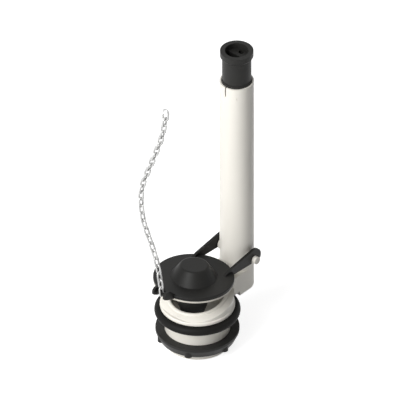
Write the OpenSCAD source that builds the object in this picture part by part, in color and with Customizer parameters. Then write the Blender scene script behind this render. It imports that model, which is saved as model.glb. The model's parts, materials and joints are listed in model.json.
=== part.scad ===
// Toilet flush valve with a slanted seat, a hinged flapper, a lift chain and an overflow tube.
// Millimetres, +Z up. The origin is on the drain axis at the lower end of the shank.
// The overflow tube stands behind the drain on +Y, and the flapper hinge lies along X.

/* [Shank and flange] */
// Outside diameter of the shank that passes through the tank floor
shank_d = 55; // [52:0.5:58]
// Bore of the shank
shank_bore_d = 48; // [46:0.5:49]
// Length of the shank below the flange
shank_l = 37; // [34:0.5:60]
// Diameter of the plain lead-in at the shank's lower end
lead_d = 54; // [51:0.2:54.4]
// Length of the plain lead-in
lead_l = 4.5; // [3:0.5:5]
// Outside diameter of the flange
flange_d = 63; // [61:0.5:66]
// Height of the flange's edge
flange_t = 3.6; // [3:0.1:4]
// Radius of the flange's rounded edges
flange_round = 1.2; // [0.4:0.1:1.4]

/* [Seat] */
// Tilt of the seat, which is low at the front
seat_tilt = 10.5; // [9:0.5:13]
// Height of the seat's centre above the flange's underside
seat_h = 12.2; // [12:0.1:13]
// Diameter of the throat below the seat
throat_d = 44.6; // [43:0.2:46]
// Diameter of the circle on which the seal rests
seat_d = 48.6; // [48:0.2:51]
// Radius of the seat's round crown
crown_r = 1.6; // [1.2:0.1:2]
// Outside diameter of the barrel that carries the seat
barrel_d = 61.2; // [60:0.2:62]
// Height of the sloping shoulder round the crown
shoulder_h = 2.2; // [1.5:0.1:3]
// Depth of the flared mouth below the crown
mouth_h = 4; // [3:0.5:5]

/* [Overflow tube] */
// Distance from the drain axis to the tube's axis
tube_y = 50; // [48:0.5:54]
// Outside diameter of the tube
tube_d = 28.8; // [28:0.2:30]
// Wall of the tube
tube_wall = 1.3; // [1:0.1:1.5]
// Height of the tube's rim above the flange's underside
tube_top_h = 205; // [160:0.5:260]
// Height of the ledge that the tube stands on, above the flange's underside
ledge_h = 17.2; // [16:0.1:18]
// How far the block under the tube hangs below the flange
block_drop = 3.9; // [3:0.1:6]
// Wall of the block where it is hollow from below
block_wall = 2.4; // [1.8:0.1:3]
// Gap between the block's lower part and the gasket
block_gap = 1.4; // [1:0.1:2]
// Width of the slot in the tube's rim
rim_slot_w = 1.3; // [1:0.1:2]
// Depth of the slot in the tube's rim
rim_slot_l = 9.2; // [6:0.2:14]
// Length of the spigot inside the tube
spigot_l = 11; // [9:0.5:16]
// Gap between the spigot and the tube
spigot_gap = 0.15; // [0.05:0.05:0.3]
// Bore of the overflow passage
passage_d = 18; // [14:0.5:19]
// Height of the passage where it enters the throat
passage_h = 7; // [5:0.5:8]
// Floor below the passage
passage_floor = 3; // [2:0.5:4]

/* [Hinge] */
// Height of the hinge above the flange's underside
hinge_h = 29.1; // [28:0.1:31]
// Diameter of a hinge peg
peg_d = 6.6; // [5.6:0.2:7.4]
// Distance from the middle to the end of a peg
peg_reach = 23; // [22:0.2:26]
// Diameter of the pad at a peg's root
peg_pad_d = 10.6; // [9:0.2:12]
// Gap between an arm and the pad at its peg's root
pad_gap = 0.6; // [0.3:0.1:1]
// Gap between a peg and its hook
peg_gap = 0.15; // [0.1:0.05:0.3]
// How far the flapper is open as the valve is drawn
rest_open = 13.6; // [0:0.2:30]

/* [Flapper] */
// Diameter of the disc
disc_d = 68; // [66:0.5:70]
// How far the disc's middle lies in front of the seat's middle
disc_out = 2.5; // [1:0.1:3]
// Thickness of the disc's rim
disc_t = 3.3; // [2.8:0.1:4]
// Radius of the rim's rounded edges
disc_round = 0.8; // [0.3:0.1:1.2]
// Distance from the hinge to the disc's straight rear edge
rear_edge_y = 19.5; // [18.5:0.5:21]
// Base diameter of the dome
dome_d = 39.5; // [35:0.5:40]
// Top diameter of the dome
dome_top_d = 26; // [22:0.5:28]
// Height of the dome
dome_h = 11.5; // [8:0.5:13]
// Radius of the dome's rounded top edge
dome_round = 2.4; // [1:0.2:3]
// Wall of the dome
dome_wall = 2; // [1.5:0.1:2.5]
// Distance from the middle to an arm
arm_x = 18.4; // [18.2:0.1:20]
// Thickness of an arm
arm_t = 2.4; // [2:0.1:2.8]
// Distance from the hinge to an arm's front tip
arm_tip_y = 41; // [38:0.5:44]
// Distance from the hinge to the knee in an arm's upper edge
arm_knee_y = 30.5; // [29:0.5:34]
// Height of the knee above the hinge
arm_knee_h = 3.5; // [2.5:0.1:5]
// Outside radius of a hook
hook_r = 8.2; // [7.6:0.1:9]
// Height of the hook's centre above the hinge
hook_rise = 1.6; // [1:0.1:2.5]
// Length of the hook's open leg below the hinge
hook_leg = 1.5; // [1:0.1:4]
// Thickness of the hook's leg at its end
hook_t = 2.6; // [1.8:0.1:3.4]

/* [Float and seal] */
// Thickness of the seal's flat ring
seal_t = 1.5; // [1:0.1:1.8]
// Depth of the seal's bead below the flat ring
bead_h = 2.8; // [2:0.1:3.4]
// Radius of the bead's round edge
bead_r = 1.5; // [1:0.1:1.6]
// How far the seal's edge stays inside the disc's edge
seal_inset = 0.3; // [0.1:0.1:1]
// Gap between the closed seal and the seat
seat_gap = 0.3; // [0.3:0.1:0.6]
// Top diameter of the float cone
cone_d = 40.4; // [38:0.2:41]
// Bottom diameter of the float cone
cone_tip_d = 16; // [12:0.5:18]
// Depth of the float cone below the disc
cone_h = 38; // [30:0.5:40]
// Wall of the float cone
cone_wall = 1.6; // [1.2:0.1:2.2]

/* [Chain lug] */
// Distance from the disc's front edge to the chain pin
pin_out = 7; // [6:0.2:8]
// Height of the chain pin above the disc's top
pin_rise = 2.2; // [2:0.1:3]
// Diameter of the chain pin
pin_d = 2.4; // [2:0.1:2.4]
// Distance from the middle to a cheek
cheek_x = 5.9; // [5.8:0.1:7]
// Thickness of a cheek
cheek_t = 2.4; // [2:0.1:2.6]
// Height of a cheek above the pin
cheek_top = 4.4; // [4:0.2:6]
// Distance from the pin to a cheek's front edge
cheek_front = 4.2; // [3.4:0.2:5]
// Depth of a cheek's front end below the disc's top
cheek_drop = 1.2; // [0.6:0.1:2]
// Length of the tab between the cheeks
tab_l = 3.5; // [2:0.1:3.6]
// Cut corner at a cheek's front
cheek_corner = 2; // [1:0.2:3]
// How far a cheek runs back over the disc
cheek_root = 2.4; // [2:0.2:6]

/* [Chain] */
// Distance from one link to the next
link_pitch = 7.1; // [6.6:0.1:7.6]
// Diameter of a link's wire
link_wire = 1.3; // [1.1:0.1:1.4]
// Outside width of a link
link_w = 5.5; // [5.4:0.1:5.8]
// Play between two linked wires
link_gap = 0.3; // [0.2:0.05:0.4]
// Wire of the hook at the chain's top
clip_wire = 1.6; // [1.4:0.1:1.7]
// Outside width of the hook
clip_w = 7.4; // [7:0.1:8.4]
// Length of the hook
clip_l = 12.4; // [11:0.2:15]
// Opening in the hook's side
clip_opening = 3; // [2:0.1:3.4]

/* [Refill adapter] */
// Height of the adapter's top above the tube's rim
adapter_top_h = 30.9; // [26:0.1:36]
// Gap between the adapter's neck and the tube's bore
neck_gap = 0.8; // [0.6:0.1:1.6]
// How far the adapter's rim stands out from its neck
adapter_rim_w = 1.75; // [1.2:0.05:2.7]
// Height of the adapter's rim
adapter_rim_h = 5; // [4:0.2:7]
// Height of the taper below the rim
adapter_taper_h = 2.2; // [1:0.1:3]
// Length of the adapter inside the tube
adapter_in = 30; // [26:0.5:40]
// Gap between the adapter's collar and the tube
adapter_gap = 0.3; // [0.3:0.05:0.4]
// Length of the collar at the adapter's lower end
collar_l = 32; // [28:0.5:34]
// Wall of the adapter's neck
adapter_wall = 2.3; // [2.1:0.1:3.3]
// Depth of the refill shelf below the adapter's top
shelf_drop = 5; // [3:0.2:8]
// Thickness of the shelf and its dividing wall
shelf_t = 2; // [1.5:0.1:2.5]
// Depth of the dividing wall below the shelf
divider_l = 16; // [12:0.5:20]
// Bore of the refill port
port_d = 5; // [4:0.1:5.2]
// Wall of the refill port
port_wall = 1.1; // [0.8:0.1:1.2]
// Length of the refill port
port_l = 9; // [6:0.5:14]

/* [Seals and nut] */
// Wire diameter of both O-rings
ring_wire = 1.8; // [1.6:0.1:2]
// Gap between an O-ring and the faces that hold it
ring_gap = 0.1; // [0.05:0.05:0.2]
// Width of the shank gasket's ring
gasket_w = 8.4; // [6.3:0.1:9.3]
// Thickness of the shank gasket
gasket_t = 7.6; // [6:0.1:8]
// Gap between the shank and its gasket
gasket_gap = 0.2; // [0.1:0.05:0.3]
// Height of the lock nut
nut_h = 9.1; // [8:0.1:12]
// Height of the nut's underside above the shank's end
nut_z = 6.3; // [5.6:0.1:8]
// Width of the nut's ring at its top
nut_w = 7.4; // [6.2:0.1:8.7]
// Width of the nut's ring at its lower end
nut_low_w = 4.2; // [2.7:0.1:5.2]
// Height of the nut's top rim
nut_rim_h = 2.2; // [1.6:0.1:3]
// Gap between the shank and the nut
nut_gap = 0.3; // [0.3:0.05:0.5]
// Number of lugs on the nut
lug_n = 6; // [4:1:8]
// Width of a lug
lug_w = 7; // [5:0.5:9]
// Height of a lug
lug_h = 5.2; // [4:0.1:6]
// Distance from the nut's bore to a lug's outer end
lug_out = 6.7; // [5.7:0.1:8.2]
// Turn of the first lug from the X axis
lug_turn = -3; // [-30:1:30]

/* [Hidden] */
$fn = 64;
SMALL = 0.01;
// How far a shape runs past the one that trims it
OVER = 1;
ARC_STEPS = 12;
REACH = 120;
WHITE = "#f1eee6";
BLACK = "#2b2b2a";
RUBBER = "#1f1f1f";
SILICONE = "#d8d2c8";
STEEL = "#c9ccd0";

// Heights above the shank's end
flange_z = shank_l;
seat_z = flange_z + seat_h;
ledge_z = flange_z + ledge_h;
hinge_z = flange_z + hinge_h;
tube_top_z = flange_z + tube_top_h;
adapter_top_z = tube_top_z + adapter_top_h;

// Gasket and lock nut round the shank
gasket_bore_d = shank_d + 2 * gasket_gap;
gasket_d = gasket_bore_d + 2 * gasket_w;
nut_bore_d = shank_d + 2 * nut_gap;
nut_d = nut_bore_d + 2 * nut_w;
nut_low_d = nut_bore_d + 2 * nut_low_w;
lug_d = nut_bore_d + 2 * lug_out;

// Overflow passage and spigot
tube_bore_d = tube_d - 2 * tube_wall;
spigot_d = tube_bore_d - 2 * spigot_gap;
collar_d = tube_bore_d - 2 * adapter_gap;
adapter_d = tube_bore_d - 2 * neck_gap;
adapter_rim_d = adapter_d + 2 * adapter_rim_w;
adapter_bore_d = adapter_d - 2 * adapter_wall;
block_front_y = gasket_d / 2 + block_gap;
ring_bore_d = tube_bore_d - 2 * (ring_wire + ring_gap);
ring_groove_w = ring_wire + 2 * ring_gap;
ring_lift = 2 * ring_wire;
shelf_h = adapter_top_h - shelf_drop;
port_y = (shelf_t + adapter_bore_d / 2) / 2;
peg_pad_x = arm_x - arm_t / 2 - pad_gap;

// Foot of the shoulder, which the barrel trims
shoulder_base_d = barrel_d / cos(seat_tilt) + OVER;

// The flapper's own frame: its origin is on the hinge and -Y runs forward along the disc
rest_tilt = seat_tilt - rest_open;
hinge_over_seat = hinge_h - seat_h;
seat_axis_y = tube_y * cos(seat_tilt) + hinge_over_seat * sin(seat_tilt);
disc_y = seat_axis_y + disc_out;
seat_drop = hinge_over_seat * cos(seat_tilt) - tube_y * sin(seat_tilt);
seal_low = seat_gap - seat_drop;
rim_low = seal_low + bead_h + seal_t;
disc_top = rim_low + disc_t;
cone_bore_d = cone_d - 2 * cone_wall;
dome_bore_d = dome_d - 2 * dome_wall;
dome_lean = atan((dome_d - dome_top_d) / 2 / dome_h);
front_edge_y = disc_y + disc_d / 2;
hook_slot = peg_d / 2 + peg_gap / 2;
knee_rise = arm_knee_h - hook_rise;
hook_start = 180 - atan(knee_rise / arm_knee_y) - acos(hook_r / norm([arm_knee_y, knee_rise]));
hook_end = -asin((hook_leg + hook_rise) / hook_r);
hook_end_y = hook_r * cos(hook_end);
pin_y = front_edge_y + pin_out;
pin_h = disc_top + pin_rise;
cheek_root_y = front_edge_y - cheek_root;

// The chain leaves the pin upright and bows to one side; each row is a link and its lean
LEANS = [[0, -6], [3, -13], [6, -24], [8, -26], [10, -12], [12, -2], [14, 9], [16, 21], [22, 20], [26, 7]];
LINK_COUNT = 27;
link_l = link_pitch + 2 * link_wire + link_gap;
link_arc_r = (link_w - link_wire) / 2;
clip_arc_r = (clip_w - clip_wire) / 2;
pin_place = [
    0,
    tube_y - pin_y * cos(rest_tilt) - pin_h * sin(rest_tilt),
    hinge_z - pin_y * sin(rest_tilt) + pin_h * cos(rest_tilt)
];

LINK_NAMES = [for (i = [1:LINK_COUNT]) str("chain_link_", i < 10 ? "0" : "", i)];

function lean(i) = lookup(i, LEANS);
function along(i) = [sin(lean(i)), 0, cos(lean(i))];
function wire_to_joint(wire) = (wire + link_gap) / 2;
// Points where one link bears on the next
function joint_place(i) = i == 0
    ? pin_place - (link_arc_r - wire_to_joint(link_wire)) * along(0)
    : joint_place(i - 1) + link_pitch * along(i - 1);
function turned(r, angle) = r * [cos(angle), sin(angle)];
function arc(centre, r, from, to) =
    [for (k = [0:ARC_STEPS]) centre + turned(r, from + (to - from) * k / ARC_STEPS)];

module at_seat() translate([0, 0, seat_z]) rotate([seat_tilt, 0, 0]) children();
module at_hinge() translate([0, tube_y, hinge_z]) rotate([rest_tilt, 0, 0]) children();
module at_disc(z) translate([0, -disc_y, z]) children();
module at_tube(z) translate([0, tube_y, z]) children();
module both_sides() {
    children();
    mirror([1, 0, 0]) children();
}

// Section of a disc or ring whose outer edges are rounded
module rounded_section(r_in, r_out, h, r_edge) {
    translate([r_in, 0]) square([r_out - r_edge - r_in, h]);
    translate([r_in, r_edge]) square([r_out - r_in, h - 2 * r_edge]);
    for (y = [r_edge, h - r_edge]) translate([r_out - r_edge, y]) circle(r_edge);
}

// An O-ring's round section turned round its axis
module o_ring() rotate_extrude() translate([(ring_bore_d + ring_wire) / 2, 0]) circle(d = ring_wire);

// Half of a link's end, standing on the XY plane
module wire_bow(arc_r, wire) rotate([90, 0, 0])
    rotate_extrude(angle = 180) translate([arc_r, 0]) circle(d = wire);

// Barrel under the seat: a cylinder cut off on the slant, with a sloping shoulder
module seat_barrel() intersection() {
    translate([0, 0, flange_z]) cylinder(d = barrel_d, h = seat_h + barrel_d);
    at_seat() union() {
        translate([0, 0, -REACH]) cylinder(d = 2 * REACH, h = REACH - crown_r - shoulder_h);
        translate([0, 0, -crown_r - shoulder_h - SMALL])
            cylinder(d1 = shoulder_base_d, d2 = seat_d + 2 * crown_r, h = shoulder_h + SMALL);
    }
}

// Round crown that the seal comes down on
module seat_crown() rotate_extrude() {
    translate([seat_d / 2, -crown_r]) circle(crown_r);
    translate([throat_d / 2, -crown_r - shoulder_h])
        square([seat_d / 2 - throat_d / 2 + crown_r, shoulder_h]);
}

// Outline of the block from its front edge to its round rear end
module block_outline(width, front_y) {
    translate([-width / 2, front_y]) square([width, tube_y - front_y]);
    translate([0, tube_y]) circle(d = width);
}

// Block behind the seat that carries the tube; below the flange it is hollow
module tube_block() difference() {
    union() {
        translate([0, 0, flange_z]) linear_extrude(ledge_h) block_outline(tube_d, 0);
        translate([0, 0, flange_z - block_drop]) linear_extrude(block_drop + OVER)
            block_outline(tube_d, block_front_y);
    }
    translate([0, 0, flange_z - block_drop - SMALL]) linear_extrude(block_drop + SMALL)
        block_outline(tube_d - 2 * block_wall, block_front_y + block_wall);
    intersection() {
        at_seat() translate([-REACH / 2, -REACH / 2, -crown_r]) cube(REACH);
        translate([-REACH / 2, -REACH, 0]) cube([REACH, REACH + tube_y - tube_d / 2, REACH]);
    }
}

// Section of the groove that holds an O-ring, at the ring's middle
module ring_groove() translate([ring_bore_d / 2 - ring_gap, -ring_groove_w / 2])
    square([tube_d, ring_groove_w]);

module valve_body() color(WHITE) difference() {
    union() {
        cylinder(d = lead_d, h = lead_l + OVER);
        translate([0, 0, lead_l]) cylinder(d = shank_d, h = shank_l - lead_l + flange_t / 2);
        translate([0, 0, flange_z]) rotate_extrude()
            rounded_section(0, flange_d / 2, flange_t, flange_round);
        seat_barrel();
        at_seat() seat_crown();
        tube_block();
        at_tube(ledge_z - SMALL) cylinder(d = spigot_d, h = spigot_l + SMALL);
    }
    translate([0, 0, -SMALL]) cylinder(d = shank_bore_d, h = shank_l + SMALL);
    translate([0, 0, shank_l - SMALL]) cylinder(d1 = shank_bore_d, d2 = throat_d, h = passage_floor);
    translate([0, 0, shank_l]) cylinder(d = throat_d, h = REACH);
    at_seat() translate([0, 0, -crown_r - mouth_h])
        cylinder(d1 = throat_d - 2 * OVER, d2 = seat_d - crown_r, h = mouth_h + crown_r);
    translate([-passage_d / 2, 0, flange_z + passage_floor]) cube([passage_d, tube_y, passage_h]);
    at_tube(flange_z + passage_floor) cylinder(d = passage_d, h = REACH);
    at_tube(ledge_z + spigot_l / 2) rotate_extrude() ring_groove();
}

module tube_o_ring() color(RUBBER) at_tube(ledge_z + spigot_l / 2) o_ring();

module hinge_peg() rotate([0, 90, 0]) {
    cylinder(d = peg_d, h = peg_reach);
    cylinder(d = peg_pad_d, h = peg_pad_x);
}

module overflow_tube() color(WHITE) difference() {
    union() {
        at_tube(ledge_z) cylinder(d = tube_d, h = tube_top_z - ledge_z);
        both_sides() at_tube(hinge_z) hinge_peg();
    }
    at_tube(ledge_z - SMALL) cylinder(d = tube_bore_d, h = REACH + tube_top_z);
    at_tube(tube_top_z - rim_slot_l) translate([-rim_slot_w / 2, -tube_d, 0])
        cube([rim_slot_w, tube_d, REACH]);
}

module adapter_section() {
    difference() {
        union() {
            translate([0, -adapter_in]) square([adapter_d / 2, adapter_in + adapter_top_h]);
            translate([0, -adapter_in]) square([collar_d / 2, collar_l]);
            translate([0, adapter_top_h - adapter_rim_h]) square([adapter_rim_d / 2, adapter_rim_h]);
            polygon([
                [0, adapter_top_h - adapter_rim_h - adapter_taper_h],
                [adapter_d / 2, adapter_top_h - adapter_rim_h - adapter_taper_h],
                [adapter_rim_d / 2, adapter_top_h - adapter_rim_h],
                [0, adapter_top_h - adapter_rim_h]
            ]);
        }
        translate([0, -REACH]) square([adapter_bore_d / 2, 2 * REACH]);
        translate([0, ring_lift - adapter_in]) ring_groove();
    }
}

// Shelf across the rear of the bore, with the refill port and the wall that divides it off
module refill_shelf() difference() {
    union() {
        intersection() {
            translate([0, 0, shelf_h - divider_l]) cylinder(d = adapter_bore_d + SMALL, h = divider_l);
            union() {
                translate([-REACH / 2, 0, 0]) cube([REACH, shelf_t, REACH]);
                translate([-REACH / 2, 0, shelf_h - shelf_t]) cube([REACH, REACH, shelf_t]);
            }
        }
        translate([0, port_y, shelf_h - port_l])
            cylinder(d = port_d + 2 * port_wall, h = port_l - shelf_t / 2);
    }
    translate([0, port_y, 0]) cylinder(d = port_d, h = REACH);
}

module refill_adapter() color(BLACK) at_tube(tube_top_z) {
    rotate_extrude() adapter_section();
    refill_shelf();
}

module adapter_o_ring() color(RUBBER) at_tube(tube_top_z - adapter_in + ring_lift) o_ring();

module shank_gasket() color(RUBBER) translate([0, 0, flange_z - gasket_t])
    rotate_extrude() difference() {
        union() {
            square([gasket_d / 2 - gasket_t / 2, gasket_t]);
            translate([gasket_d / 2 - gasket_t / 2, gasket_t / 2]) circle(gasket_t / 2);
        }
        translate([0, -OVER]) square([gasket_bore_d / 2, gasket_t + 2 * OVER]);
    }

module nut_lug() translate([(lug_d - lug_w) / 2, 0, 0]) cylinder(d = lug_w, h = lug_h);

module lock_nut() color(BLACK) translate([0, 0, nut_z]) difference() {
    union() {
        rotate_extrude() polygon([
            [0, 0], [nut_low_d / 2, 0], [nut_d / 2, nut_h - nut_rim_h], [nut_d / 2, nut_h], [0, nut_h]
        ]);
        for (k = [0:lug_n - 1]) rotate(lug_turn + k * 360 / lug_n) nut_lug();
    }
    translate([0, 0, -SMALL]) cylinder(d = nut_bore_d, h = nut_h + 2 * SMALL);
}

// Side outline of an arm: a wedge that ends in a hook, which snaps over its peg from above
module arm_outline() difference() {
    polygon(concat(
        [[-arm_knee_y, rim_low], [-arm_tip_y, disc_top - disc_t / 2], [-arm_knee_y, arm_knee_h]],
        arc([0, hook_rise], hook_r, hook_start, hook_end),
        [[hook_end_y - hook_t, -hook_leg], [hook_slot, 0], [-hook_slot, 0], [-hook_slot, rim_low]]
    ));
    circle(d = peg_d + 2 * peg_gap);
}

// Side outline of a cheek that carries the chain pin
module cheek_outline() difference() {
    polygon([
        [-cheek_root_y, rim_low], [-front_edge_y, rim_low], [-pin_y, disc_top - cheek_drop],
        [-pin_y - cheek_front, disc_top - cheek_drop + cheek_corner],
        [-pin_y - cheek_front, pin_h + cheek_top - cheek_corner],
        [-pin_y - cheek_front + cheek_corner, pin_h + cheek_top],
        [-pin_y + cheek_front / 2, pin_h + cheek_top], [-cheek_root_y, disc_top]
    ]);
    translate([-pin_y, pin_h]) circle(d = pin_d);
}

// Turns a side outline upright and gives it its thickness, centred at x
module side_plate(x, t) translate([x - t / 2, 0, 0]) rotate([90, 0, 90]) linear_extrude(t) children();

// Section of the dome, with its rounded top edge
module dome_section() polygon(concat(
    [[0, 0], [dome_d / 2, 0]],
    arc([dome_top_d / 2 - dome_round, dome_h - dome_round], dome_round, dome_lean, 90),
    [[0, dome_h]]
));

module disc_and_dome() difference() {
    union() {
        at_disc(rim_low) rotate_extrude() rounded_section(0, disc_d / 2, disc_t, disc_round);
        at_disc(disc_top - SMALL) rotate_extrude() dome_section();
    }
    at_disc(rim_low - SMALL) rotate_extrude()
        polygon([
            [0, 0], [dome_bore_d / 2, 0], [dome_bore_d / 2, disc_t],
            [dome_top_d / 2 - dome_wall, disc_t + dome_h - dome_wall], [0, disc_t + dome_h - dome_wall]
        ]);
    translate([-REACH / 2, -rear_edge_y, -REACH / 2]) cube(REACH);
}

module flapper_frame() color(BLACK) at_hinge() {
    disc_and_dome();
    both_sides() side_plate(arm_x, arm_t) arm_outline();
    both_sides() side_plate(cheek_x, cheek_t) cheek_outline();
    translate([-cheek_x, -front_edge_y - tab_l, rim_low + disc_round])
        cube([2 * cheek_x, tab_l + cheek_root, disc_t - 2 * disc_round]);
}

// Section of the seal's bead, which comes down on the seat's crown
module bead_section() translate([seat_d / 2, bead_r]) {
    circle(bead_r);
    translate([-bead_r, 0]) square([2 * bead_r, bead_h - bead_r + seal_t / 2]);
}

module flapper_seal() color(SILICONE) at_hinge() difference() {
    union() {
        at_disc(seal_low + bead_h) rotate_extrude()
            translate([cone_d / 2, 0]) square([disc_d / 2 - seal_inset - cone_d / 2, seal_t]);
        translate([0, -seat_axis_y, seal_low]) rotate_extrude() bead_section();
    }
    translate([-REACH / 2, -rear_edge_y - seal_inset, -REACH / 2]) cube(REACH);
}

module float_cone() color(BLACK) at_hinge() at_disc(rim_low - cone_h) rotate_extrude() difference() {
    polygon(concat(
        [[0, 0]],
        arc([cone_tip_d / 2 - cone_wall, cone_wall], cone_wall, -90, 0),
        [[cone_d / 2, cone_h], [0, cone_h]]
    ));
    polygon([
        [0, cone_wall], [cone_tip_d / 2 - cone_wall, cone_wall],
        [cone_bore_d / 2, cone_h + SMALL], [0, cone_h + SMALL]
    ]);
}

module chain_pin() color(BLACK) at_hinge() translate([-cheek_x - cheek_t / 2, -pin_y, pin_h])
    rotate([0, 90, 0]) cylinder(d = pin_d, h = 2 * cheek_x + cheek_t);

// A closed loop of wire that stands along Z in the XZ plane, centred on the origin
module chain_loop(length, width, wire) {
    arc_r = (width - wire) / 2;
    straight = length - width;
    for (x = [-arc_r, arc_r]) translate([x, 0, -straight / 2]) cylinder(d = wire, h = straight);
    translate([0, 0, straight / 2]) wire_bow(arc_r, wire);
    translate([0, 0, -straight / 2]) rotate([180, 0, 0]) wire_bow(arc_r, wire);
}

// Link i stands between two joints; every second link is turned a quarter round
module chain_link(i) color(STEEL) translate((joint_place(i) + joint_place(i + 1)) / 2)
    rotate([0, lean(i), 0]) rotate(i % 2 == 0 ? 90 : 0) chain_loop(link_l, link_w, link_wire);

// Open hook that hangs the chain on the lever
module chain_clip() {
    straight = clip_l - clip_w;
    side = straight - clip_opening;
    color(STEEL) translate(joint_place(LINK_COUNT)) rotate([0, lean(LINK_COUNT - 1), 0])
        translate([0, 0, clip_arc_r - wire_to_joint(clip_wire)]) {
            rotate([180, 0, 0]) wire_bow(clip_arc_r, clip_wire);
            translate([clip_arc_r, 0, 0]) cylinder(d = clip_wire, h = straight);
            translate([-clip_arc_r, 0, 0]) cylinder(d = clip_wire, h = side);
            translate([0, 0, straight]) wire_bow(clip_arc_r, clip_wire);
        }
}

valve_body();
shank_gasket();
lock_nut();
tube_o_ring();
overflow_tube();
refill_adapter();
adapter_o_ring();
flapper_frame();
flapper_seal();
float_cone();
chain_pin();
chain_clip();
for (i = [0:LINK_COUNT - 1]) chain_link(i);
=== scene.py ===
"""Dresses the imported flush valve: finishes, wire chain, mould mark, studio light and camera."""

import json
import logging
import math
from dataclasses import dataclass
from enum import Enum

import bmesh
import bpy
from mathutils import Matrix, Vector


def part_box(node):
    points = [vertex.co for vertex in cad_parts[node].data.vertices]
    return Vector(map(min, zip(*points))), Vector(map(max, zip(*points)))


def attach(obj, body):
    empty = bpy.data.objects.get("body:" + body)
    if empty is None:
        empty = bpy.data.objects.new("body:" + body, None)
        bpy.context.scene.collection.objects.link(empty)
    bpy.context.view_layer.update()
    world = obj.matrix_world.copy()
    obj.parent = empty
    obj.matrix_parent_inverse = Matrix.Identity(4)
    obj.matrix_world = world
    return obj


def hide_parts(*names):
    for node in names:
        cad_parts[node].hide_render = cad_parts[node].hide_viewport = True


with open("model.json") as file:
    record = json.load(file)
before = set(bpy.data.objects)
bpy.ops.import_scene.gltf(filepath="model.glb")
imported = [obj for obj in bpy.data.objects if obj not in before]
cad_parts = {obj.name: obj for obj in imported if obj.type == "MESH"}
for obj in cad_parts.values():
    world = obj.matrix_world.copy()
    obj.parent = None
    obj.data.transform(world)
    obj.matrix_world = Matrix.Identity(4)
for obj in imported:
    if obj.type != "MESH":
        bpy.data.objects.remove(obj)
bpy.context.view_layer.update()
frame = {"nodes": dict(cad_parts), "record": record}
LOG = logging.getLogger("flush_valve")

Colour = tuple[float, float, float]
MM = 0.001
UP = Vector((0, 0, 1))
WHITE = (1, 1, 1, 1)
BEVEL_SEGMENTS = 3
MERGE_DISTANCE = 0.0001 * MM


class Slot(Enum):
    """Material slots of the record."""

    WHITE_PLASTIC = "white_plastic"
    BLACK_PLASTIC = "black_plastic"
    BLACK_RUBBER = "black_rubber"
    PALE_SILICONE = "pale_silicone"
    CHAIN_STEEL = "chain_steel"


@dataclass(frozen=True)
class Finish:
    """A finish with clouded colour, uneven gloss and a fine grain."""

    name: str
    slot: Slot
    colour: Colour
    cloud_colour: Colour
    smooth: float
    rough: float
    cloud_scale: float
    grain_scale: float
    grain_depth: float
    metallic: float = 0.0
    specular: float = 0.5
    grain_strength: float = 0.35
    cloud_detail: float = 4.0
    grain_detail: float = 3.0

    def material(self) -> bpy.types.Material:
        """Makes the material, or finds it where it is already made.

        Returns:
            The material, whose patterns read Object coordinates.
        """
        made = bpy.data.materials.get(self.name)
        if made:
            return made
        material = bpy.data.materials.new(self.name)
        material.use_nodes = True
        tree = material.node_tree
        shader = tree.nodes["Principled BSDF"]
        shader.inputs["Metallic"].default_value = self.metallic
        shader.inputs["Specular IOR Level"].default_value = self.specular
        place = tree.nodes.new("ShaderNodeTexCoord").outputs["Object"]
        clouds = self._noise(tree, place, self.cloud_scale, self.cloud_detail)
        self._cloud_colour(tree, clouds, shader.inputs["Base Color"])
        self._uneven_gloss(tree, clouds, shader.inputs["Roughness"])
        grain = self._noise(tree, place, self.grain_scale, self.grain_detail)
        bump = tree.nodes.new("ShaderNodeBump")
        bump.inputs["Strength"].default_value = self.grain_strength
        bump.inputs["Distance"].default_value = self.grain_depth
        tree.links.new(grain, bump.inputs["Height"])
        tree.links.new(bump.outputs["Normal"], shader.inputs["Normal"])
        return material

    @staticmethod
    def _noise(
        tree: bpy.types.NodeTree, place: bpy.types.NodeSocket, scale: float, detail: float
    ) -> bpy.types.NodeSocket:
        """Adds a noise pattern.

        Args:
            tree: The material's nodes.
            place: The coordinates to read.
            scale: Waves per metre.
            detail: How many finer waves are added.

        Returns:
            The pattern's output.
        """
        noise = tree.nodes.new("ShaderNodeTexNoise")
        noise.inputs["Scale"].default_value = scale
        noise.inputs["Detail"].default_value = detail
        tree.links.new(place, noise.inputs["Vector"])
        return noise.outputs["Fac"]

    def _cloud_colour(
        self, tree: bpy.types.NodeTree, clouds: bpy.types.NodeSocket, target: bpy.types.NodeSocket
    ) -> None:
        """Lets the colour drift between its two shades.

        Args:
            tree: The material's nodes.
            clouds: The pattern that mixes the shades.
            target: The shader's colour input.
        """
        mix = tree.nodes.new("ShaderNodeMix")
        mix.data_type = "RGBA"
        colours = [socket for socket in mix.inputs if socket.type == "RGBA"]
        colours[0].default_value = (*self.colour, 1)
        colours[1].default_value = (*self.cloud_colour, 1)
        tree.links.new(clouds, mix.inputs["Factor"])
        tree.links.new(next(s for s in mix.outputs if s.type == "RGBA"), target)

    def _uneven_gloss(
        self, tree: bpy.types.NodeTree, clouds: bpy.types.NodeSocket, target: bpy.types.NodeSocket
    ) -> None:
        """Lets the gloss drift between smooth and rough.

        Args:
            tree: The material's nodes.
            clouds: The pattern that drives the gloss.
            target: The shader's roughness input.
        """
        spread = tree.nodes.new("ShaderNodeMapRange")
        spread.inputs["To Min"].default_value = self.smooth
        spread.inputs["To Max"].default_value = self.rough
        tree.links.new(clouds, spread.inputs["Value"])
        tree.links.new(spread.outputs["Result"], target)


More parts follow.
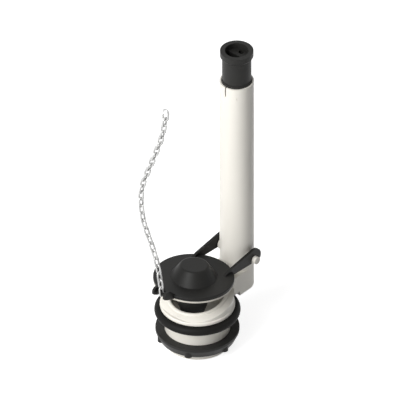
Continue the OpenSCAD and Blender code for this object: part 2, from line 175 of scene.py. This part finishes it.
WHITE_PLASTIC = Finish(
    "ivory_satin", Slot.WHITE_PLASTIC, (0.88, 0.85, 0.78), (0.85, 0.82, 0.75),
    smooth=0.3, rough=0.42, cloud_scale=45, grain_scale=1600, grain_depth=0.05 * MM,
)
BLACK_PLASTIC = Finish(
    "jet_satin", Slot.BLACK_PLASTIC, (0.009, 0.009, 0.0083), (0.015, 0.0146, 0.0135),
    smooth=0.34, rough=0.5, cloud_scale=70, grain_scale=1400, grain_depth=0.08 * MM, specular=0.17,
)
GREY_BLACK_PLASTIC = Finish(
    "charcoal_satin", Slot.BLACK_PLASTIC, (0.017, 0.0168, 0.0158), (0.027, 0.0265, 0.025),
    smooth=0.36, rough=0.52, cloud_scale=70, grain_scale=1400, grain_depth=0.08 * MM, specular=0.17,
)
BLACK_RUBBER = Finish(
    "jet_matt", Slot.BLACK_RUBBER, (0.0048, 0.0047, 0.0043), (0.008, 0.0078, 0.007),
    smooth=0.5, rough=0.66, cloud_scale=90, grain_scale=1800, grain_depth=0.1 * MM, specular=0.14,
)
PALE_SILICONE = Finish(
    "pale_matt", Slot.PALE_SILICONE, (0.66, 0.63, 0.56), (0.58, 0.55, 0.49),
    smooth=0.4, rough=0.55, cloud_scale=60, grain_scale=1500, grain_depth=0.06 * MM,
)
CHAIN_STEEL = Finish(
    "plated_wire", Slot.CHAIN_STEEL, (0.74, 0.74, 0.72), (0.36, 0.36, 0.365),
    smooth=0.16, rough=0.3, cloud_scale=300, grain_scale=2400, grain_depth=0.03 * MM, metallic=0.3,
)


def dress(finish: Finish, *nodes: str) -> None:
    """Gives CAD nodes their finish.

    Args:
        finish: The finish to put on.
        nodes: Names of the nodes that take it.
    """
    for name in nodes:
        materials = frame["nodes"][name].data.materials
        materials.clear()
        materials.append(finish.material())
        LOG.info("dressed %s in %s", name, finish.slot.value)


def new_piece(
    name: str, form: bmesh.types.BMesh, body: str, finish: Finish, *nodes: str
) -> None:
    """Turns a finished form into a piece that rides on a body.

    Args:
        name: Name of the piece.
        form: The form, which is freed.
        body: The CAD body that carries it.
        finish: The finish to put on.
        nodes: CAD nodes that the piece stands for.
    """
    bmesh.ops.remove_doubles(form, verts=form.verts, dist=MERGE_DISTANCE)
    bmesh.ops.recalc_face_normals(form, faces=form.faces)
    for face in form.faces:
        face.smooth = True
    mesh = bpy.data.meshes.new(name)
    form.to_mesh(mesh)
    form.free()
    mesh.materials.append(finish.material())
    piece = bpy.data.objects.new(name, mesh)
    bpy.context.scene.collection.objects.link(piece)
    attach(piece, body)
    if nodes:
        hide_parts(*nodes)
    LOG.info("built %s on %s", name, body)


def round_edges(
    form: bmesh.types.BMesh, edges: list[bmesh.types.BMEdge], offset: float
) -> None:
    """Rounds edges.

    Args:
        form: The form that holds the edges.
        edges: The edges to round.
        offset: How far the rounding reaches from each edge.
    """
    bmesh.ops.bevel(
        form, geom=edges, offset=offset, offset_type="OFFSET", segments=BEVEL_SEGMENTS,
        profile=0.5, affect="EDGES", material=-1,
    )


class BentWire:
    """A round wire that is drawn along straights and bows, ring by ring."""

    RING_SIDES = 14
    BOW_STEPS = 12
    BOW_AXIS = Vector((0, -1, 0))
    END_ROUNDING = 0.35  # of the wire's diameter

    def __init__(self, form: bmesh.types.BMesh, start: Vector, wire: float) -> None:
        """Starts the wire with a ring that faces along Z.

        Args:
            form: The bmesh to draw in.
            start: Middle of the first ring.
            wire: Diameter of the wire.
        """
        self.form = form
        self.wire = wire
        verts = bmesh.ops.create_circle(
            form, segments=self.RING_SIDES, radius=wire / 2, matrix=Matrix.Translation(start)
        )["verts"]
        self.first = list(dict.fromkeys(edge for vert in verts for edge in vert.link_edges))
        self.ring = self.first

    def straight(self, step: Vector) -> None:
        """Draws the wire straight on.

        Args:
            step: Way from the last ring to the next.
        """
        drawn = bmesh.ops.extrude_edge_only(self.form, edges=self.ring)["geom"]
        verts = [part for part in drawn if isinstance(part, bmesh.types.BMVert)]
        self.ring = [
            part for part in drawn
            if isinstance(part, bmesh.types.BMEdge) and all(vert in verts for vert in part.verts)
        ]
        bmesh.ops.translate(self.form, verts=verts, vec=step)

    def bow(self, centre: Vector) -> None:
        """Draws the wire half round a centre.

        Args:
            centre: Middle of the bow.
        """
        drawn = bmesh.ops.spin(
            self.form, geom=self.ring, cent=centre, axis=self.BOW_AXIS, angle=math.pi,
            steps=self.BOW_STEPS, use_merge=False,
        )["geom_last"]
        self.ring = [part for part in drawn if isinstance(part, bmesh.types.BMEdge)]

    def round_ends(self) -> None:
        """Closes both ends of an open wire and rounds them."""
        for ring in (self.first, self.ring):
            bmesh.ops.edgeloop_fill(self.form, edges=ring)
            round_edges(self.form, ring, self.wire * self.END_ROUNDING)


@dataclass
class LiftChain:
    """Chain of wire links from the flapper's lug to the open hook at the top."""

    pitch: float = 7.1 * MM
    wire: float = 1.6 * MM
    width: float = 5.8 * MM
    play: float = 0.3 * MM
    pin_drop: float = 1.3 * MM
    hook_wire: float = 1.8 * MM
    hook_width: float = 7.4 * MM
    hook_length: float = 12.4 * MM
    hook_opening: float = 3.0 * MM
    link_count: int = 27
    lean_links: tuple[int, ...] = (0, 3, 6, 8, 10, 12, 14, 16, 22, 26)
    lean_degrees: tuple[float, ...] = (-6, -13, -24, -26, -12, -2, 9, 21, 20, 7)

    def build(self) -> None:
        """Builds every link and the hook in place of their CAD nodes."""
        low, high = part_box("chain_pin")
        pin = (Vector(low) + Vector(high)) / 2
        joint = pin - self._along(0) * self.pin_drop
        for number in range(self.link_count):
            following = joint + self._along(number) * self.pitch
            self._build_link(number, (joint + following) / 2)
            joint = following
        self._build_hook(joint)

    def _lean(self, number: int) -> float:
        """Gives a link's lean, between those of the links that state one.

        Args:
            number: Place of the link, counted up from the pin.

        Returns:
            The lean in radians.
        """
        stops = list(zip(self.lean_links, self.lean_degrees))
        for (low, lean_low), (high, lean_high) in zip(stops, stops[1:]):
            if low <= number <= high:
                part = (number - low) / (high - low)
                return math.radians(lean_low + (lean_high - lean_low) * part)
        return math.radians(stops[-1][1])

    def _along(self, number: int) -> Vector:
        """Gives the direction of a link."""
        lean = self._lean(number)
        return Vector((math.sin(lean), 0, math.cos(lean)))

    def _body_of(self, node: str) -> str:
        """Finds the CAD body that holds a node."""
        bodies = frame["record"]["behaviour"]["bodies"]
        return next(body for body, nodes in bodies.items() if node in nodes)

    def _build_link(self, number: int, middle: Vector) -> None:
        """Builds one closed link.

        Args:
            number: Place of the link, counted up from the pin.
            middle: Middle of the link.
        """
        radius = (self.width - self.wire) / 2
        length = self.pitch + 2 * self.wire + self.play
        half = (length - self.width) / 2
        form = bmesh.new()
        loop = BentWire(form, Vector((radius, 0, -half)), self.wire)
        loop.straight(UP * 2 * half)
        loop.bow(UP * half)
        loop.straight(-UP * 2 * half)
        loop.bow(-UP * half)
        quarter = Matrix.Rotation(math.pi / 2 if number % 2 == 0 else 0, 4, "Z")
        lean = Matrix.Rotation(self._lean(number), 4, "Y")
        place = Matrix.Translation(middle) @ lean @ quarter
        bmesh.ops.transform(form, matrix=place, verts=form.verts)
        node = f"chain_link_{number + 1:02d}"
        new_piece(f"wire_link_{number + 1:02d}", form, self._body_of(node), CHAIN_STEEL, node)

    def _build_hook(self, joint: Vector) -> None:
        """Builds the open hook.

        Args:
            joint: Point where the hook bears on the last link.
        """
        radius = (self.hook_width - self.hook_wire) / 2
        straight = self.hook_length - self.hook_width
        form = bmesh.new()
        short_side = straight - self.hook_opening
        hook = BentWire(form, Vector((-radius, 0, short_side)), self.hook_wire)
        hook.straight(-UP * short_side)
        hook.bow(Vector())
        hook.straight(UP * straight)
        hook.bow(UP * straight)
        hook.round_ends()
        lift = Matrix.Translation(UP * (radius - (self.hook_wire + self.play) / 2))
        lean = Matrix.Rotation(self._lean(self.link_count - 1), 4, "Y")
        place = Matrix.Translation(joint) @ lean @ lift
        bmesh.ops.transform(form, matrix=place, verts=form.verts)
        new_piece("wire_hook", form, self._body_of("chain_clip"), CHAIN_STEEL, "chain_clip")


@dataclass
class ValveBody:
    """White body, its gasket and its nut."""

    def dress(self) -> None:
        """Puts on the finishes."""
        dress(WHITE_PLASTIC, "valve_body")
        dress(BLACK_RUBBER, "shank_gasket")
        dress(GREY_BLACK_PLASTIC, "lock_nut")


@dataclass
class OverflowTube:
    """White tube with the black adapter in its top and a small mould mark by its rim."""

    axis_y: float = 50 * MM
    mark_drop: float = 9.4 * MM
    mark_turn_deg: float = -52.0
    mark_d: float = 1.8 * MM
    mark_rise: float = 0.6 * MM
    mark_sides: int = 24

    def build(self) -> None:
        """Builds the mould mark, a low round button."""
        high = Vector(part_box("overflow_tube")[1])
        form = bmesh.new()
        bmesh.ops.create_cone(
            form, cap_ends=True, segments=self.mark_sides,
            radius1=self.mark_d / 2, radius2=self.mark_d / 2, depth=2 * self.mark_rise,
        )
        top = [edge for edge in form.edges if all(vert.co.z > 0 for vert in edge.verts)]
        round_edges(form, top, self.mark_rise / 2)
        lay = Matrix.Rotation(math.pi / 2, 4, "Y")
        out = Matrix.Translation(Vector((high.y - self.axis_y, 0, 0)))
        turn = Matrix.Rotation(math.radians(self.mark_turn_deg), 4, "Z")
        rim = Matrix.Translation(Vector((0, self.axis_y, high.z - self.mark_drop)))
        bmesh.ops.transform(form, matrix=rim @ turn @ out @ lay, verts=form.verts)
        new_piece("mould_mark", form, "valve", WHITE_PLASTIC)

    def dress(self) -> None:
        """Puts on the finishes."""
        dress(WHITE_PLASTIC, "overflow_tube")
        dress(GREY_BLACK_PLASTIC, "refill_adapter")
        dress(BLACK_RUBBER, "tube_o_ring", "adapter_o_ring")


@dataclass
class Flapper:
    """Black flapper with its pale seal and its float."""

    def dress(self) -> None:
        """Puts on the finishes."""
        dress(BLACK_PLASTIC, "flapper_frame", "float_cone", "chain_pin")
        dress(PALE_SILICONE, "flapper_seal")


@dataclass(frozen=True)
class Lamp:
    """A square soft lamp, to the left of the camera by an angle and up by another.

    A lamp that isn't mirrored gives light, but glossy pieces don't show it.
    """

    name: str
    side_deg: float
    height_deg: float
    power: float
    size: float
    mirrored: bool = True


@dataclass
class Studio:
    """Pale floor, soft light and the camera at the photograph's angle."""

    right: Vector = Vector((0.7547, 0.6561, 0))
    upward: Vector = Vector((-0.3875, 0.4457, 0.807))
    aim_right: float = 2.15 * MM
    aim_up: float = 117.5 * MM
    picture_width: float = 334 * MM
    distance: float = 1.5
    floor_size: float = 6.0
    floor_colour: Colour = (0.55, 0.55, 0.55)
    floor_roughness: float = 0.9
    floor_glow: float = 0.8
    sky_fill: float = 0.1
    backdrop_level: float = 1.0
    lamps: tuple[Lamp, ...] = (
        Lamp("key_light", side_deg=45, height_deg=48, power=10.8, size=0.7),
        Lamp("low_light", side_deg=45, height_deg=20, power=11.2, size=0.7),
        Lamp("front_light", side_deg=20, height_deg=35, power=3.6, size=0.7),
        Lamp("back_light", side_deg=185, height_deg=15, power=9, size=0.9, mirrored=False),
    )

    def build(self) -> None:
        """Builds the floor, the lights and the camera."""
        bpy.context.scene.view_settings.view_transform = "Standard"
        self._floor()
        self._sky()
        for lamp in self.lamps:
            self._hang(lamp)
        self._camera()

    def _aim(self) -> Vector:
        """Gives the point in the middle of the picture."""
        return self.right * self.aim_right + self.upward * self.aim_up

    def _camera(self) -> None:
        """Adds the camera, which sees without perspective."""
        camera = bpy.data.cameras.new("camera")
        camera.type = "ORTHO"
        camera.ortho_scale = self.picture_width
        holder = bpy.data.objects.new("camera", camera)
        backward = self.right.cross(self.upward)
        axes = Matrix((self.right, self.upward, backward)).transposed().to_4x4()
        holder.matrix_world = Matrix.Translation(self._aim() + backward * self.distance) @ axes
        bpy.context.scene.collection.objects.link(holder)
        bpy.context.scene.camera = holder

    def _hang(self, lamp: Lamp) -> None:
        """Adds a lamp that looks at the part.

        Args:
            lamp: The lamp's place, power and size.
        """
        side, height = math.radians(lamp.side_deg), math.radians(lamp.height_deg)
        level = self.right.cross(UP) * math.cos(side) - self.right * math.sin(side)
        direction = level * math.cos(height) + UP * math.sin(height)
        light = bpy.data.lights.new(lamp.name, "AREA")
        light.energy = lamp.power
        light.size = lamp.size
        holder = bpy.data.objects.new(lamp.name, light)
        holder.visible_glossy = lamp.mirrored
        turn = direction.to_track_quat("Z", "Y").to_matrix().to_4x4()
        holder.matrix_world = Matrix.Translation(self._aim() + direction * self.distance) @ turn
        bpy.context.scene.collection.objects.link(holder)

    def _seen(self, tree: bpy.types.NodeTree) -> bpy.types.NodeSocket:
        """Adds a switch that is 1 for the rays that look at the background.

        Args:
            tree: The nodes to add it to.

        Returns:
            The switch's output.
        """
        path = tree.nodes.new("ShaderNodeLightPath")
        seen = path.outputs["Is Camera Ray"]
        for other in ("Is Glossy Ray", "Is Transmission Ray"):
            either = tree.nodes.new("ShaderNodeMath")
            either.operation = "MAXIMUM"
            tree.links.new(seen, either.inputs[0])
            tree.links.new(path.outputs[other], either.inputs[1])
            seen = either.outputs["Value"]
        return seen

    def _floor(self) -> None:
        """Adds a pale floor that keeps the part's shadow."""
        form = bmesh.new()
        bmesh.ops.create_grid(form, x_segments=1, y_segments=1, size=self.floor_size / 2)
        mesh = bpy.data.meshes.new("floor")
        form.to_mesh(mesh)
        form.free()
        material = bpy.data.materials.new("pale_floor")
        material.use_nodes = True
        tree = material.node_tree
        shader = tree.nodes["Principled BSDF"]
        shader.inputs["Base Color"].default_value = (*self.floor_colour, 1)
        shader.inputs["Roughness"].default_value = self.floor_roughness
        shader.inputs["Emission Color"].default_value = WHITE
        glow = tree.nodes.new("ShaderNodeMath")
        glow.operation = "MULTIPLY"
        glow.inputs[1].default_value = self.floor_glow
        tree.links.new(self._seen(tree), glow.inputs[0])
        tree.links.new(glow.outputs["Value"], shader.inputs["Emission Strength"])
        mesh.materials.append(material)
        floor = bpy.data.objects.new("floor", mesh)
        bpy.context.scene.collection.objects.link(floor)

    def _sky(self) -> None:
        """Lights the part evenly from all round, with a white background."""
        world = bpy.data.worlds.new("studio")
        world.use_nodes = True
        tree = world.node_tree
        background = tree.nodes["Background"]
        background.inputs["Color"].default_value = WHITE
        level = tree.nodes.new("ShaderNodeMapRange")
        level.inputs["To Min"].default_value = self.sky_fill
        level.inputs["To Max"].default_value = self.backdrop_level
        tree.links.new(self._seen(tree), level.inputs["Value"])
        tree.links.new(level.outputs["Result"], background.inputs["Strength"])
        bpy.context.scene.world = world


def main() -> None:
    """Builds and dresses the sub-assemblies in order."""
    logging.basicConfig(level=logging.INFO, format="%(message)s")
    ValveBody().dress()
    tube = OverflowTube()
    tube.dress()
    tube.build()
    Flapper().dress()
    LiftChain().build()
    Studio().build()


if __name__ == "__main__":
    main()
